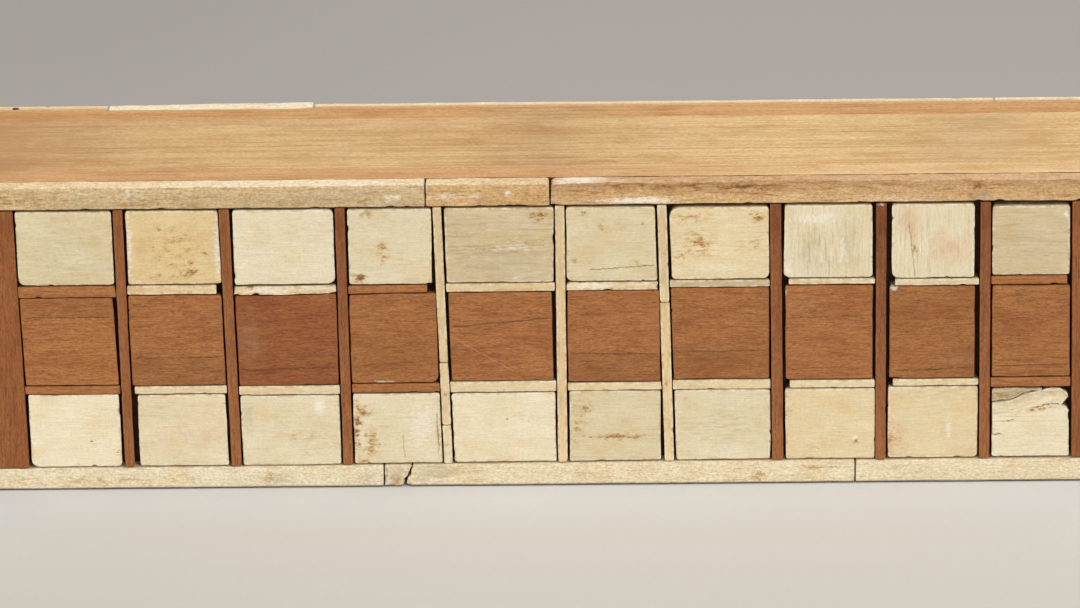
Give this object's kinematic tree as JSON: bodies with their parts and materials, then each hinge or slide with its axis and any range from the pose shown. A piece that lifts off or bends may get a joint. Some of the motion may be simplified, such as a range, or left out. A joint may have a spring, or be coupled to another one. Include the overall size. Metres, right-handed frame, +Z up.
{
  "type": "senet game box",
  "caption": "Two-sided board game box of wood and ivory: inlaid senet squares on one face, twenty squares on the other, and a bolted drawer in one end.",
  "frame": {"origin": "on the surface that the box stands on, under the middle of the box itself; the bolt handle stands out past its left end", "axes": "+X along the box from the drawer end to the closed end, -Y the senet face, +Y the twenty-squares face, +Z up with the box on its long side"},
  "size_m": [0.2749, 0.0564, 0.076],
  "materials": {
    "ivory": "aged ivory, worn smooth, with fine cracks and brown stains",
    "red_wood": "reddish-brown close-grained wood, rubbed matt",
    "carcass_wood": "honey-brown wood with fine straight grain, matt",
    "copper_alloy": "dark, patinated copper alloy"
  },
  "bodies": {
    "box": {"back_board": "carcass_wood", "bottom_rail": "ivory", "carcass_dowels": "carcass_wood", "catch_staple": "copper_alloy", "drawer_stop": "carcass_wood", "end_board": "carcass_wood", "end_strips": "red_wood", "front_board": "carcass_wood", "ivory_cross_strips": "ivory", "ivory_dividers": "ivory", "lower_side_board": "carcass_wood", "rear_bottom_rail": "ivory", "rear_cross_strips": "ivory", "rear_dividers": "red_wood", "rear_panels": "red_wood", "rear_rail_nail": "copper_alloy", "rear_squares": "ivory", "rear_top_rail": "ivory", "square_bottom_01": "ivory", "square_bottom_02": "ivory", "square_bottom_03": "ivory", "square_bottom_04": "ivory", "square_bottom_05": "ivory", "square_bottom_06": "ivory", "square_bottom_07": "ivory", "square_bottom_08": "ivory", "square_bottom_09": "ivory", "square_bottom_10": "ivory", "square_middle_01": "red_wood", "square_middle_02": "red_wood", "square_middle_03": "red_wood", "square_middle_04": "red_wood", "square_middle_05": "red_wood", "square_middle_06": "red_wood", "square_middle_07": "red_wood", "square_middle_08": "red_wood", "square_middle_09": "red_wood", "square_middle_10": "red_wood", "square_top_01": "ivory", "square_top_02": "ivory", "square_top_03": "ivory", "square_top_04": "ivory", "square_top_05": "ivory", "square_top_06": "ivory", "square_top_07": "ivory", "square_top_08": "ivory", "square_top_09": "ivory", "square_top_10": "ivory", "top_rail": "ivory", "upper_side_board": "carcass_wood", "wood_cross_strips": "red_wood", "wood_dividers": "red_wood"},
    "drawer": {"drawer_back": "carcass_wood", "drawer_floor": "carcass_wood", "drawer_front": "carcass_wood", "drawer_lower_side": "carcass_wood", "drawer_pins": "carcass_wood", "drawer_staples": "copper_alloy", "drawer_upper_side": "carcass_wood"},
    "bolt": {"bolt": "copper_alloy"}
  },
  "joints": [
    {"name": "drawer_slide", "type": "slide", "parent": "box", "child": "drawer", "axis": [-1, 0, 0], "range_m": [0, 0.145]},
    {"name": "bolt_slide", "type": "slide", "parent": "drawer", "child": "bolt", "axis": [0, 0, 1], "range_m": [0, 0.007]}
  ]
}
